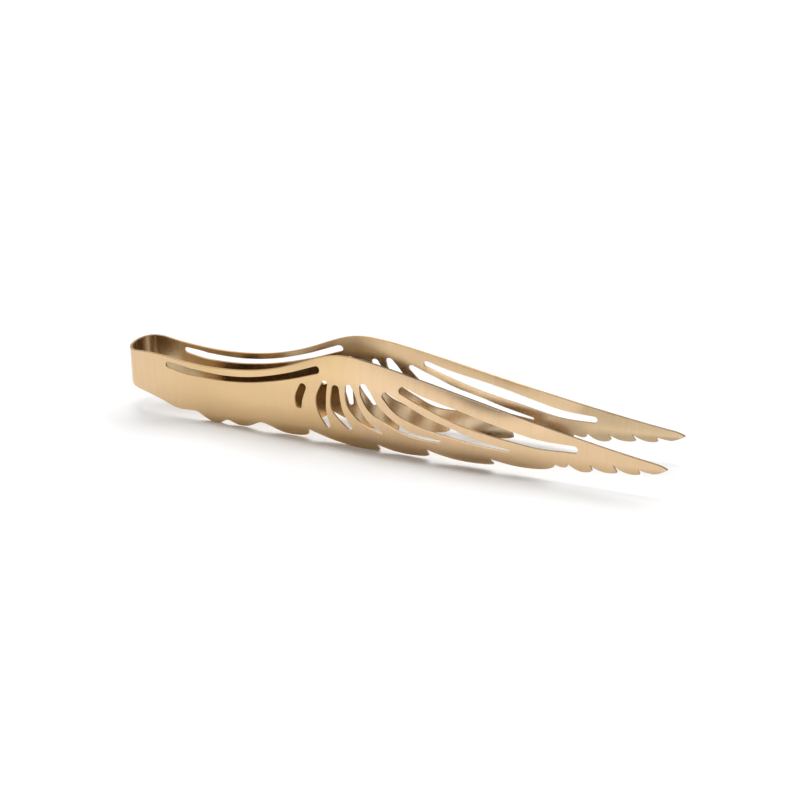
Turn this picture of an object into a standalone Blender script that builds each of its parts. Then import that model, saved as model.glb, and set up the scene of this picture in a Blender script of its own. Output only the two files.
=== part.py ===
"""Charcoal tongs: one strip of satin sheet steel, bent round into a spring bow, with two wing-shaped arms.

The strip is drawn flat, as it is laser cut: distance along the strip against height, with its feathered lower
edge and its slots. The flat blank is then extruded to the sheet's thickness and folded. Seen from above it curls
round the bow and runs out along the arm, and across its height the wing is pressed into a shallow dish.

The tongs lie along X with the bow at -X and the jaws at +X, standing on the lower feathers at Z = 0.
All sizes are in millimetres, and the meshes are made in metres.
"""

import math
from collections import namedtuple

import bmesh
import bpy
import numpy as np

MM = 0.001

# Sheet
SHEET = 1.0  # thickness of the strip
JOINT_GAP = 0.3  # clearance between the bow and each arm

# Bow, seen from above
BOW_DEPTH = 5.9  # back of the bow to its widest place, along the middle of the sheet
BOW_HALF_WIDTH = 9.3  # middle of the bow to the middle of the sheet
BOW_SQUARENESS = 2.1  # 2 is an ellipse, more is a squarer corner

# Stations along the strip: distances from the outside of the bow's back
JOINT = 16.0  # where the arm starts to swing
NECK = 18.9  # where the curl of the bow has straightened
HEEL_AT = 23.5  # where the bow's sloping lower edge turns level
SHOULDER = 83.4  # root of the wing
JAW = 188.4  # root of the toothed jaw
TIP = 232.9

# Half gap between the arms, to the middle of the sheet
NECK_HALF_GAP = 8.45
TIP_HALF_GAP = 16.1

# Heights above the table
BOW_TOP = 28.6
BOW_BOTTOM = 14.0
WAIST_TOP = 25.6  # lowest place of the top edge, along the handle
HEEL = 4.5  # short level stretch where the bow's lower edge meets the handle
CREST = 39.45  # highest place of the wing
TIP_SHOULDER = 14.65  # where the top edge starts to turn down to the tip
TIP_HEIGHT = 13.1

# Pressed dish: the arm bulges outwards between its two edges
DISH = 4.7
HANDLE_LEAN = 2.2  # how far the handle's lower edge leans in from its upper edge
WING_LEAN = 1.4  # the same along the wing

# Feathers and slots
TOOTH = 4.0  # depth of a full notch between two feathers
POINT_ROUND = 0.4  # how far the rounding of a feather's point reaches
HEEL_ROUND = 2.8  # how far the rounding of the heel reaches to each side
TIP_ROUND = 4.2  # how far back from the tip its shoulder is
SLOT_WIDTH = 4.6  # width of a feather slot that is marked 1.0
GRIP_SLOT_WIDTH = 2.3  # width of the handle's slot at its middle

# Fineness of the mesh
BOW_STEP = 1.1
ARM_STEP = 5.0
HEIGHT_STEP = 5.0
MERGE = 0.05
CURVE_STEPS = 60  # steps of each curve that is only looked up
EDGE_STEPS = 14  # steps of each curve of the top edge
SLOPE_STEP = 0.05  # distance over which the direction of the plan is measured
PLAN_SPARE = 10.0  # how far the plan is drawn on beyond the tip

# Shares of a zone, which runs from one station to the next
HANDLE = (NECK, SHOULDER)
WING = (SHOULDER, JAW)
JAWS = (JAW, TIP)
WAIST_SHARE = 0.32  # of the handle
CREST_SHARE = 0.165  # of the wing
BELLY_SHARE = 0.50  # of the wing: the feathers stand on the table up to here

# One feather of the lower edge, from its root at one notch to its point at the next. Places are shares of the
# zone and heights above the belly line are shares of TOOTH. A feather with no point runs on into the next root.
Feather = namedtuple("Feather", "zone root root_up low low_up point point_up")
FEATHERS = (
    Feather(HANDLE, 0.188, 1.00, 0.335, 0.00, None, None),
    Feather(HANDLE, 0.423, 0.60, 0.521, 0.16, None, None),
    Feather(HANDLE, 0.677, 1.09, 0.877, 0.18, 1.002, 0.62),
    Feather(WING, 0.007, 1.33, 0.225, 0.00, 0.294, 0.22),
    Feather(WING, 0.293, 0.95, 0.415, 0.26, 0.502, 0.65),
    Feather(WING, 0.504, 1.44, 0.672, 0.29, 0.764, 0.38),
    Feather(WING, 0.749, 1.16, 0.880, 0.16, 1.000, 0.42),
    Feather(JAWS, 0.004, 0.74, 0.085, 0.44, 0.120, 0.55),
    Feather(JAWS, 0.126, 0.82, 0.263, 0.02, 0.348, 0.22),
    Feather(JAWS, 0.319, 0.78, 0.470, 0.02, 0.568, 0.06),
    Feather(JAWS, 0.524, 0.81, 0.690, -0.09, 0.765, -0.08),
    Feather(JAWS, 0.748, 0.40, 0.883, -0.04, None, None),
)

# Each slot of the wing: knots down its spine, as the share of the wing's length, the share of the height between
# belly line and top edge, and the half width as a share of SLOT_WIDTH.
WING_SLOTS = (
    ((-0.004, 0.704, 0.33), (-0.020, 0.582, 0.35), (-0.021, 0.474, 0.24)),
    ((0.090, 0.718, 0.28), (0.076, 0.555, 0.46), (0.078, 0.412, 0.40), (0.095, 0.226, 0.24)),
    ((0.137, 0.668, 0.33), (0.139, 0.492, 0.50), (0.153, 0.388, 0.43), (0.189, 0.246, 0.26)),
    ((0.192, 0.698, 0.32), (0.200, 0.620, 0.47), (0.210, 0.527, 0.52), (0.235, 0.426, 0.45),
     (0.264, 0.350, 0.29), (0.324, 0.270, 0.12)),
    ((0.252, 0.740, 0.36), (0.264, 0.674, 0.49), (0.300, 0.540, 0.53), (0.368, 0.425, 0.36),
     (0.450, 0.336, 0.25), (0.562, 0.332, 0.15)),
    ((0.344, 0.720, 0.35), (0.390, 0.643, 0.58), (0.445, 0.582, 0.66), (0.513, 0.534, 0.57),
     (0.623, 0.486, 0.43), (0.710, 0.436, 0.28), (0.833, 0.376, 0.13)),
    ((0.408, 0.834, 0.33), (0.493, 0.786, 0.40), (0.650, 0.724, 0.57), (0.833, 0.650, 0.46),
     (0.948, 0.600, 0.41), (1.075, 0.648, 0.33)),
)

# The handle's slot in the same way, on stations from the neck to the shoulder, with its width as a share of
# GRIP_SLOT_WIDTH. It follows the top edge, so its height is a share of the handle's height below that edge.
GRIP_SLOT = (
    (0.026, 0.143, 0.61),
    (0.200, 0.154, 0.58),
    (0.418, 0.155, 0.47),
    (0.636, 0.142, 0.48),
    (0.868, 0.133, 0.57),
    (1.082, 0.128, 0.72),
)


def smooth(x):
    """Eases from 0 to 1 with level ends: 3x^2 - 2x^3."""
    x = np.clip(x, 0.0, 1.0)
    return x * x * (3.0 - 2.0 * x)


def place(zone, share):
    """Station at a share of the way along a zone."""
    return zone[0] + share * (zone[1] - zone[0])


def bezier(points, count):
    """Points along a quadratic or cubic Bezier curve, both ends included."""
    points = [np.asarray(p, dtype=float) for p in points]
    t = np.linspace(0.0, 1.0, count)[:, None]
    while len(points) > 1:
        points = [a + (b - a) * t for a, b in zip(points, points[1:])]
    return points[0]


def spline(knots, count):
    """Smooth curve through every knot (Catmull-Rom), count steps from each knot to the next."""
    k = np.asarray(knots, dtype=float)
    k = np.vstack([2 * k[0] - k[1], k, 2 * k[-1] - k[-2]])
    t = np.linspace(0.0, 1.0, count, endpoint=False)[:, None]
    runs = []
    for a, b, c, d in zip(k, k[1:], k[2:], k[3:]):
        runs.append(0.5 * (2 * b + (c - a) * t + (2 * a - 5 * b + 4 * c - d) * t**2 + (3 * b - a - 3 * c + d) * t**3))
    return np.vstack(runs + [k[-2:-1]])


# Plan of the strip

def plan_curve():
    """Half of the strip seen from above, from the back of the bow to beyond the tip: station, X and Y."""
    turn = np.linspace(0.0, math.pi / 2, 400)
    power = 2.0 / BOW_SQUARENESS
    depth = BOW_DEPTH * (1 - np.cos(turn) ** power)
    curl = np.column_stack([SHEET / 2 + depth, BOW_HALF_WIDTH * np.sin(turn) ** power])
    slope = (TIP_HALF_GAP - NECK_HALF_GAP) / (TIP - NECK)
    reach = NECK - curl[-1][0]
    third = np.array([reach / 3, 0.0])
    neck = bezier(
        [curl[-1], curl[-1] + third, (NECK - third[0], NECK_HALF_GAP - slope * third[0]), (NECK, NECK_HALF_GAP)],
        CURVE_STEPS,
    )
    end = np.array([[TIP + PLAN_SPARE, TIP_HALF_GAP + PLAN_SPARE * slope]])
    x, y = np.vstack([curl, neck[1:], end]).T
    run = np.concatenate([[0.0], np.cumsum(np.hypot(np.diff(x), np.diff(y)))])
    return run - np.interp(NECK, x, run) + NECK, x, y


PLAN_S, PLAN_X, PLAN_Y = plan_curve()
BACK = PLAN_S[0]  # station of the bow's middle, where the two halves meet
TIP_X = np.interp(TIP, PLAN_S, PLAN_X)
MIDDLE_X = TIP_X / 2  # half way from the outside of the bow to the tips


# Edges of the strip in the flat

WAIST = (place(HANDLE, WAIST_SHARE), WAIST_TOP)
SUMMIT = (place(WING, CREST_SHARE), CREST)
BELLY_END = place(WING, BELLY_SHARE)
RISE = SUMMIT[0] - WAIST[0]
FALL = TIP - TIP_ROUND - SUMMIT[0]
DROP = CREST - TIP_SHOULDER


def top_edge(fineness):
    """Top edge from the bow to the tip: level, down to the waist, up to the crest, and down along the wing."""
    level = np.array([[BACK, BOW_TOP], [0.47 * NECK, BOW_TOP]])
    sink = WAIST[0] - level[1][0]
    down = bezier([level[1], level[1] + (0.11 * sink, 0), (WAIST[0] - 0.42 * sink, WAIST_TOP), WAIST], fineness)
    up = bezier([WAIST, (WAIST[0] + 0.61 * RISE, WAIST_TOP), (SUMMIT[0] - 0.28 * RISE, CREST), SUMMIT], fineness)
    corner = np.array([TIP - TIP_ROUND, TIP_SHOULDER])
    wing = bezier([SUMMIT, (SUMMIT[0] + 0.13 * FALL, CREST), corner + (-0.41 * FALL, 0.313 * DROP), corner], 2 * fineness)
    blunt = bezier([corner, (TIP - 0.2 * TIP_ROUND, (TIP_SHOULDER + TIP_HEIGHT) / 2), (TIP, TIP_HEIGHT)], 5)
    return np.vstack([level[:1], down, up[1:], wing[1:], blunt[1:]])


def belly_line(fineness):
    """The line that the feathers' lowest places follow: up from the bow, level on the table, up to the tip."""
    heel = bezier([(BACK, BOW_BOTTOM), (0.5 * NECK, BOW_BOTTOM), (NECK, 0.0), (place(HANDLE, 0.335), 0.0)], fineness)
    run = TIP - BELLY_END
    middle = (TIP - 0.216 * run, 0.58 * TIP_HEIGHT)
    jaw = bezier([(BELLY_END, 0.0), (BELLY_END + 0.206 * run, 0.0), middle, (TIP, 0.885 * TIP_HEIGHT)], fineness)
    return np.vstack([heel, jaw])


TOP_LINE = top_edge(CURVE_STEPS)
BELLY_LINE = belly_line(CURVE_STEPS)


def top_at(s):
    return np.interp(s, TOP_LINE[:, 0], TOP_LINE[:, 1])


def belly_at(s):
    return np.interp(s, BELLY_LINE[:, 0], BELLY_LINE[:, 1])


def bow_lower_line(fineness):
    """Lower edge of the bow: level round the back, then sloping down towards the handle's heel."""
    run = HEEL_AT - BACK
    slope = (BACK + 0.466 * run, HEEL + 0.70 * (BOW_BOTTOM - HEEL))
    return bezier([(BACK, BOW_BOTTOM), (BACK + 0.25 * run, BOW_BOTTOM), slope, (HEEL_AT, HEEL)], fineness)


BOW_LOWER_LINE = bow_lower_line(CURVE_STEPS)


def bow_lower_at(s):
    return np.interp(s, BOW_LOWER_LINE[:, 0], BOW_LOWER_LINE[:, 1])


def unit(vector):
    return vector / np.hypot(*vector)


def above_belly(feather, share, up):
    """Point of the lower edge at a share of the feather's zone, up by a share of TOOTH from the belly line."""
    s = place(feather.zone, share)
    return np.array([s, belly_at(s) + up * TOOTH])


def full(bottom, end):
    """Middle of the curve from a feather's lowest place to its end, well forward so that the feather is full."""
    return bottom + (end - bottom) * (0.8, 0.1)


def wave(start, end, leave, arrive, count):
    """Curve that is level at both ends, and stays near them for the given shares of the way."""
    along = np.array([end[0] - start[0], 0.0])
    return bezier([start, start + leave * along, end - arrive * along, end], count)


def lower_edge():
    """Feathered lower edge of an arm, from the heel to the tip."""
    slope_end = HEEL_AT - HEEL_ROUND
    slope = np.array([slope_end, bow_lower_at(slope_end)])
    points = [bezier([slope, (HEEL_AT, HEEL), (HEEL_AT + HEEL_ROUND, HEEL)], 5)]
    soft = True
    for n, feather in enumerate(FEATHERS):
        bottom = above_belly(feather, feather.low, feather.low_up)
        root = above_belly(feather, feather.root, feather.root_up)
        if n == 0:
            root[1] = HEEL
        if soft:
            points.append(wave(root, bottom, 0.30, 0.50, 9))
        else:
            points.append(bezier([root, ((root[0] + bottom[0]) / 2, bottom[1]), bottom], 7))
        if n == len(FEATHERS) - 1:
            end = np.array([TIP, TIP_HEIGHT])
            points.append(bezier([bottom, (bottom + end) / 2 - (0.0, 0.16 * TOOTH), end], 5)[1:-1])
            continue
        after = FEATHERS[n + 1]
        notch = above_belly(after, after.root, after.root_up)
        soft = feather.point is None
        if soft:
            points.append(wave(bottom, notch, 0.50, 0.25, 7)[1:-1])
            continue
        point = above_belly(feather, feather.point, feather.point_up)
        under = point + POINT_ROUND * unit(bottom - point)
        behind = point + POINT_ROUND * unit(notch - point)
        points.append(bezier([bottom, full(bottom, under), under], 6)[1:-1])
        points.append(bezier([under, point, behind], 4))
    return np.vstack(points)


# Slots in the flat

def slot_loop(spine):
    """Outline of a slot from its spine of station, height and half width, closed by a round cap at each end."""
    curve = spline(spine, 4)
    middle, half = curve[:, :2], curve[:, 2:]
    along = np.gradient(middle, axis=0)
    along /= np.hypot(along[:, 0], along[:, 1])[:, None]
    across = np.column_stack([-along[:, 1], along[:, 0]])
    left, right = middle + across * half, middle - across * half
    turn = np.linspace(0.0, math.pi, 7)[1:-1, None]
    far = middle[-1] + half[-1] * (across[-1] * np.cos(turn) + along[-1] * np.sin(turn))
    near = middle[0] - half[0] * (across[0] * np.cos(turn) + along[0] * np.sin(turn))
    return np.vstack([left, far, right[::-1], near])


def wing_slot(knots):
    """Slot of the wing: its knots' shares turned into stations, heights and half widths."""
    spine = []
    for share, height, width in knots:
        s = place(WING, share)
        spine.append((s, belly_at(s) + height * (top_at(s) - belly_at(s)), width * SLOT_WIDTH))
    return slot_loop(spine)


def grip_slot():
    """Long slot of the handle, a strip's width below the top edge."""
    spine = []
    for share, depth, width in GRIP_SLOT:
        s = place(HANDLE, share)
        spine.append((s, top_at(s) - depth * (top_at(s) - belly_at(s)), width * GRIP_SLOT_WIDTH))
    return slot_loop(spine)


# Folding

def dish_at(s):
    """Depth of the pressed dish: none at the bow, full along the wing, none at the flat jaws."""
    grow = smooth(s / place(WING, 0.28))
    fade = smooth((s - place(WING, 0.66)) / (place(JAWS, 0.30) - place(WING, 0.66)))
    return DISH * grow * (1.0 - fade)


def lean_at(s):
    """How far the lower edge leans in: most along the handle, less along the wing, none at the bow and jaws."""
    grow = smooth((s - NECK) / (WAIST[0] - NECK))
    ease = smooth((s - SHOULDER) / (place(WING, 0.35) - SHOULDER))
    fade = smooth((s - place(WING, 0.66)) / (place(JAWS, 0.30) - place(WING, 0.66)))
    return grow * (HANDLE_LEAN + (WING_LEAN - HANDLE_LEAN) * ease) * (1.0 - fade)


def fold(s, z, through):
    """Place of a point of the strip: station, height, and share of the thickness from -0.5 inside to 0.5 outside."""
    top, belly = top_at(s), belly_at(s)
    q = (z - belly) / np.maximum(top - belly, SHEET)
    dish = dish_at(s)
    bulge = dish * 4.0 * q * (1.0 - q) - lean_at(s) * (1.0 - q)
    tilt = dish * 4.0 * (1.0 - 2.0 * q) / np.maximum(top - belly, SHEET)
    out = bulge + through * SHEET * np.sqrt(1.0 + tilt**2)
    ahead, behind = s + SLOPE_STEP, np.maximum(s - SLOPE_STEP, BACK)
    dx = np.interp(ahead, PLAN_S, PLAN_X) - np.interp(behind, PLAN_S, PLAN_X)
    dy = np.interp(ahead, PLAN_S, PLAN_Y) - np.interp(behind, PLAN_S, PLAN_Y)
    length = np.hypot(dx, dy)
    x = np.interp(s, PLAN_S, PLAN_X) - out * dy / length
    y = np.interp(s, PLAN_S, PLAN_Y) + out * dx / length
    return x - MIDDLE_X, y, z


def blank(loops, steps, height_step):
    """Flat blank in XZ: the loops filled with their holes open, then cut across so that it can be folded."""
    bm = bmesh.new()
    for loop in loops:
        verts = [bm.verts.new((s, 0.0, z)) for s, z in loop]
        for a, b in zip(verts, verts[1:] + verts[:1]):
            bm.edges.new((a, b))
    bmesh.ops.triangle_fill(bm, edges=bm.edges[:], use_beauty=True, use_dissolve=False)
    fill_lines = [e for e in bm.edges if not e.is_boundary]
    bmesh.ops.dissolve_limit(bm, angle_limit=0.01, verts=[], edges=fill_lines)
    for s in steps:
        cut(bm, (s, 0.0, 0.0), (1.0, 0.0, 0.0))
    top = max(v.co.z for v in bm.verts)
    for z in np.arange(height_step / 2, top, height_step):
        cut(bm, (0.0, 0.0, z), (0.0, 0.0, 1.0))
    bmesh.ops.remove_doubles(bm, verts=bm.verts[:], dist=MERGE)
    bmesh.ops.triangulate(bm, faces=bm.faces[:])
    return bm


def cut(bm, point, normal):
    bmesh.ops.bisect_plane(bm, geom=bm.verts[:] + bm.edges[:] + bm.faces[:], plane_co=point, plane_no=normal)


def thicken(bm):
    """Extrudes the flat blank: its faces stay at Y = -0.5 and their copies go to Y = 0.5."""
    for v in bm.verts:
        v.co.y = -0.5
    raised = bmesh.ops.extrude_face_region(bm, geom=bm.faces[:], use_keep_orig=True)
    for v in raised["geom"]:
        if isinstance(v, bmesh.types.BMVert):
            v.co.y = 0.5
    bmesh.ops.triangulate(bm, faces=bm.faces[:])
    bmesh.ops.recalc_face_normals(bm, faces=bm.faces[:])


def fold_mesh(bm, side, origin):
    """Folds every vertex. side is 1 for +Y and -1 for -Y, or 0 where the station's own sign says which."""
    co = np.array([v.co[:] for v in bm.verts])
    if side:
        hand = np.full(len(co), float(side))
        s = co[:, 0]
    else:
        hand = np.where(co[:, 0] < 0, -1.0, 1.0)
        s = np.abs(co[:, 0]) + BACK
    x, y, z = fold(s, co[:, 2], co[:, 1])
    placed = np.column_stack([x, y * hand, z]) * MM - np.asarray(origin)
    for v, p in zip(bm.verts, placed):
        v.co = p
    if bm.calc_volume(signed=True) < 0:
        bmesh.ops.reverse_faces(bm, faces=bm.faces[:])


def add_object(name, bm, material, location, parent):
    mesh = bpy.data.meshes.new(name)
    bm.to_mesh(mesh)
    bm.free()
    mesh.shade_smooth()
    mesh.set_sharp_from_angle(angle=math.radians(35))
    mesh.materials.append(material)
    obj = bpy.data.objects.new(name, mesh)
    obj.location = location
    obj.parent = parent
    bpy.context.scene.collection.objects.link(obj)
    return obj


def gold(name, colour, roughness):
    """Satin gold finish of the coated steel."""
    material = bpy.data.materials.new(name)
    material.use_nodes = True
    shader = material.node_tree.nodes["Principled BSDF"]
    shader.inputs["Base Color"].default_value = (*colour, 1.0)
    shader.inputs["Metallic"].default_value = 1.0
    shader.inputs["Roughness"].default_value = roughness
    return material


# Pieces

def spring_bow(parent):
    """The curl at the closed end, from one arm's joint round to the other's."""
    end = JOINT - JOINT_GAP / 2
    s = np.linspace(BACK, end, 24)
    upper = np.column_stack([s - BACK, top_at(s)])
    lower = np.column_stack([s - BACK, bow_lower_at(s)])
    mirror = np.array([-1.0, 1.0])
    loop = np.vstack([upper[:0:-1] * mirror, upper, lower[::-1], lower[1:] * mirror])
    steps = np.arange(0.0, end - BACK, BOW_STEP)
    bm = blank([loop], np.concatenate([-steps[:0:-1], steps]), HEIGHT_STEP)
    thicken(bm)
    fold_mesh(bm, 0, (0.0, 0.0, 0.0))
    return add_object("spring_bow", bm, gold("bow_gold", (0.80, 0.62, 0.38), 0.34), (0.0, 0.0, 0.0), parent)


def hinge_point(side):
    """The upright line that an arm bends about, in the middle of the sheet at its joint."""
    x, y = np.interp(JOINT, PLAN_S, PLAN_X), np.interp(JOINT, PLAN_S, PLAN_Y)
    return ((x - MIDDLE_X) * MM, side * y * MM, 0.0)


def wing_arm(name, side, parent):
    """Handle, feathered wing and toothed jaw of one side."""
    start = JOINT + JOINT_GAP / 2
    top = top_edge(EDGE_STEPS)
    upper = np.vstack([[start, top_at(start)], top[top[:, 0] > start + MERGE]])
    lower = np.vstack([[start, bow_lower_at(start)], lower_edge()])
    loops = [np.vstack([upper, lower[::-1]]), grip_slot()] + [wing_slot(knots) for knots in WING_SLOTS]
    bm = blank(loops, np.arange(start + ARM_STEP, TIP, ARM_STEP), HEIGHT_STEP)
    thicken(bm)
    hinge = hinge_point(side)
    fold_mesh(bm, side, hinge)
    return add_object(name, bm, gold(name + "_gold", (0.82, 0.64, 0.40), 0.36), hinge, parent)


def main():
    for obj in list(bpy.data.objects):
        bpy.data.objects.remove(obj, do_unlink=True)
    tongs = bpy.data.objects.new("tongs", None)
    bpy.context.scene.collection.objects.link(tongs)
    spring_bow(tongs)
    wing_arm("left_wing_arm", 1, tongs)
    wing_arm("right_wing_arm", -1, tongs)
    for obj in bpy.data.objects:
        if obj.type == "MESH":
            print(obj.name, len(obj.data.polygons), "triangles, origin", tuple(round(c / MM, 2) for c in obj.location))


main()
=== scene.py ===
# %% [markdown]
# # Charcoal tongs of satin gold sheet steel
# The real tongs are one strip of stainless sheet, about 1 mm thick. It is cut flat by laser, with a
# feathered lower edge and a row of slots, then curled round into a spring bow and pressed into two dished
# wings. This lesson builds the visible metal the same way: it draws the strip in the flat, as distance
# along the strip against height, and folds every point of that drawing into space with one formula.

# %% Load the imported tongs
import math
from collections import namedtuple

import bpy
import numpy as np
from mathutils import Matrix
from mathutils.geometry import delaunay_2d_cdt


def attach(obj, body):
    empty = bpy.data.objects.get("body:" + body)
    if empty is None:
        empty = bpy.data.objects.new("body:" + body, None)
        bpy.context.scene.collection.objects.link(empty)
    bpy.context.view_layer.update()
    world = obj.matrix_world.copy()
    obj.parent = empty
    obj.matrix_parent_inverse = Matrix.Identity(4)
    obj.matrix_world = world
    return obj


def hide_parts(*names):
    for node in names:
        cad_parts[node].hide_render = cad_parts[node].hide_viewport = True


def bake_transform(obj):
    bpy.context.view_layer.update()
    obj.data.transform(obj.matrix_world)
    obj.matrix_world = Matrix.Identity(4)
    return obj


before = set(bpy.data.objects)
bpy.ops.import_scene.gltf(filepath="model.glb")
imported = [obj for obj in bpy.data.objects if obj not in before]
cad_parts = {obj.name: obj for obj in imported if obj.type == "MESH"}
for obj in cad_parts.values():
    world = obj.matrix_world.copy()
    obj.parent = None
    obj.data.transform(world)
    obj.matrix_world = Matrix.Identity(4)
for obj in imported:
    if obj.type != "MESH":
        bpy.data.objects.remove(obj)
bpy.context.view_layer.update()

# %% [markdown]
# ## Sizes of the strip
# A sheet-metal part is drawn in the flat, so the driving sizes are stations along the strip and heights above
# the table. From the neck on, a station is the distance from the outside of the bow's back, to a fraction of
# a millimetre. These are the sizes that the solids were made with. Only the slots are drawn a little wider
# than theirs, and the points of three feathers a little longer. All are in millimetres, and one factor turns
# the finished meshes into metres.

# %% Driving sizes
MM = 0.001
SHEET = 1.0
BOW_DEPTH = 5.9
BOW_HALF_WIDTH = 9.3
BOW_SQUARENESS = 2.1
JOINT = 16.0
NECK = 18.9
HEEL_AT = 23.5
SHOULDER = 83.4
JAW = 188.4
TIP = 232.9
NECK_HALF_GAP = 8.45
TIP_HALF_GAP = 16.1
BOW_TOP = 28.6
BOW_BOTTOM = 14.0
WAIST_TOP = 25.6
HEEL = 4.5
CREST = 39.45
TIP_SHOULDER = 14.65
TIP_HEIGHT = 13.1
DISH = 4.7
HANDLE_LEAN = 2.2
WING_LEAN = 1.4
TOOTH = 4.0
POINT_ROUND = 0.4
HEEL_ROUND = 2.8
TIP_ROUND = 4.2
SLOT_WIDTH = 4.6
GRIP_SLOT_WIDTH = 2.3
HANDLE = (NECK, SHOULDER)
WING = (SHOULDER, JAW)
JAWS = (JAW, TIP)

# %% [markdown]
# ## Curves
# Every outline is made of curves that follow a few control points, or of a smooth spline through its knots.
# A curve of the first kind is found by cutting the lines between its control points at the same share, again
# and again, until one point is left. The number of points follows from the curve's length, so that small
# roundings and long edges are equally fine.

# %% Curve helpers
OUTLINE_STEP = 0.6
FEWEST_STEPS = 4


def smooth(x):
    """Eases from 0 to 1 with level ends: 3x^2 - 2x^3."""
    x = np.clip(x, 0.0, 1.0)
    return x * x * (3.0 - 2.0 * x)


def place(zone, share):
    """Station at a share of the way along a zone."""
    return zone[0] + share * (zone[1] - zone[0])


def bezier(points, step=OUTLINE_STEP):
    """Curve by control points: lines between them are cut at share t until one point is left for each t."""
    points = [np.asarray(p, dtype=float) for p in points]
    length = sum(np.hypot(*(b - a)) for a, b in zip(points, points[1:]))
    t = np.linspace(0.0, 1.0, max(FEWEST_STEPS, math.ceil(length / step)) + 1)[:, None]
    while len(points) > 1:
        points = [a + (b - a) * t for a, b in zip(points, points[1:])]
    return points[0]


def wave(start, end, leave, arrive, step=OUTLINE_STEP):
    """Curve that is level at both ends, and stays near them for the given shares of the way."""
    start, end = np.asarray(start, dtype=float), np.asarray(end, dtype=float)
    along = np.array([end[0] - start[0], 0.0])
    return bezier([start, start + leave * along, end - arrive * along, end], step)


def spline(knots, step=OUTLINE_STEP):
    """Smooth curve through every knot: a cubic whose slope there is half the line between its neighbours."""
    k = np.asarray(knots, dtype=float)
    k = np.vstack([2 * k[0] - k[1], k, 2 * k[-1] - k[-2]])
    runs = []
    for a, b, c, d in zip(k, k[1:], k[2:], k[3:]):
        count = max(FEWEST_STEPS, math.ceil(np.hypot(*(c - b)[:2]) / step))
        t = np.linspace(0.0, 1.0, count, endpoint=False)[:, None]
        cubic = 2 * b + (c - a) * t + (2 * a - 5 * b + 4 * c - d) * t**2 + (3 * b - a - 3 * c + d) * t**3
        runs.append(0.5 * cubic)
    return np.vstack(runs + [k[-2:-1]])


# %% [markdown]
# ## The strip seen from above
# From above, half of the strip is a quarter of a slightly squared ellipse, then a short S-curve into the
# neck, then a straight arm that opens towards the jaws. Squaring the ellipse a little gives the bow its full
# corners. The curve is kept as a dense line of station, X and Y, and looked up by station.

# %% Plan of half the strip
FINE = 0.05
CURL_POINTS = 1600
PLAN_SPARE = 10.0


def plan_curve():
    """Squared ellipse x = 1 - cos(a)^p, y = sin(a)^p, then an S-curve, then a straight line."""
    turn = np.linspace(0.0, math.pi / 2, CURL_POINTS)
    power = 2.0 / BOW_SQUARENESS
    depth = BOW_DEPTH * (1 - np.cos(turn) ** power)
    curl = np.column_stack([SHEET / 2 + depth, BOW_HALF_WIDTH * np.sin(turn) ** power])
    slope = (TIP_HALF_GAP - NECK_HALF_GAP) / (TIP - NECK)
    third = np.array([(NECK - curl[-1][0]) / 3, 0.0])
    into_neck = (NECK - third[0], NECK_HALF_GAP - slope * third[0])
    neck = bezier([curl[-1], curl[-1] + third, into_neck, (NECK, NECK_HALF_GAP)], FINE)
    end = np.array([[TIP + PLAN_SPARE, TIP_HALF_GAP + PLAN_SPARE * slope]])
    x, y = np.vstack([curl, neck[1:], end]).T
    run = np.concatenate([[0.0], np.cumsum(np.hypot(np.diff(x), np.diff(y)))])
    return run - np.interp(NECK, x, run) + NECK, x, y


PLAN_S, PLAN_X, PLAN_Y = plan_curve()
BACK = PLAN_S[0]
MIDDLE_X = np.interp(TIP, PLAN_S, PLAN_X) / 2
print(f"strip: {2 * (TIP - BACK):.1f} mm long when flat, origin {MIDDLE_X:.2f} mm from the bow's back")

# %% [markdown]
# ## Top edge and belly line
# The top edge is level round the bow, sinks to the waist of the handle, climbs to the crest of the wing and
# runs down to the tip. The belly line is what the lowest places of the feathers follow. Between them, a
# point's height is also known as a share from 0 to 1, which the pressing and the finish both use later. The
# plain numbers in a curve are shares of its own run, drop or height, and place its control points.

# %% Top edge, belly line and the bow's lower edge
LEVEL_SHARE = 0.47
WAIST = (place(HANDLE, 0.32), WAIST_TOP)
SUMMIT = (place(WING, 0.165), CREST)
TABLE_FROM = place(HANDLE, 0.335)
TABLE_TO = place(WING, 0.50)


def top_edge(step=OUTLINE_STEP):
    """Level, down to the waist, up to the crest, down along the wing, and blunt at the tip."""
    level = np.array([[BACK, BOW_TOP], [LEVEL_SHARE * NECK, BOW_TOP]])
    down = wave(level[1], WAIST, 0.11, 0.42, step)
    up = wave(WAIST, SUMMIT, 0.61, 0.28, step)
    corner = np.array([TIP - TIP_ROUND, TIP_SHOULDER])
    fall, drop = corner[0] - SUMMIT[0], CREST - TIP_SHOULDER
    above_corner = corner + (-0.41 * fall, 0.313 * drop)
    wing = bezier([SUMMIT, (SUMMIT[0] + 0.13 * fall, CREST), above_corner, corner], step)
    turn = (TIP - 0.2 * TIP_ROUND, (TIP_SHOULDER + TIP_HEIGHT) / 2)
    blunt = bezier([corner, turn, (TIP, TIP_HEIGHT)], step)
    return np.vstack([level[:1], down, up[1:], wing[1:], blunt[1:]])


def belly_line():
    """From the bow's lower edge down to the table, level under the wing, and up to the tip."""
    heel = bezier([(BACK, BOW_BOTTOM), (0.5 * NECK, BOW_BOTTOM), (NECK, 0.0), (TABLE_FROM, 0.0)], FINE)
    run = TIP - TABLE_TO
    middle = (TIP - 0.216 * run, 0.58 * TIP_HEIGHT)
    jaw = bezier([(TABLE_TO, 0.0), (TABLE_TO + 0.206 * run, 0.0), middle, (TIP, 0.885 * TIP_HEIGHT)], FINE)
    return np.vstack([heel, jaw])


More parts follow.
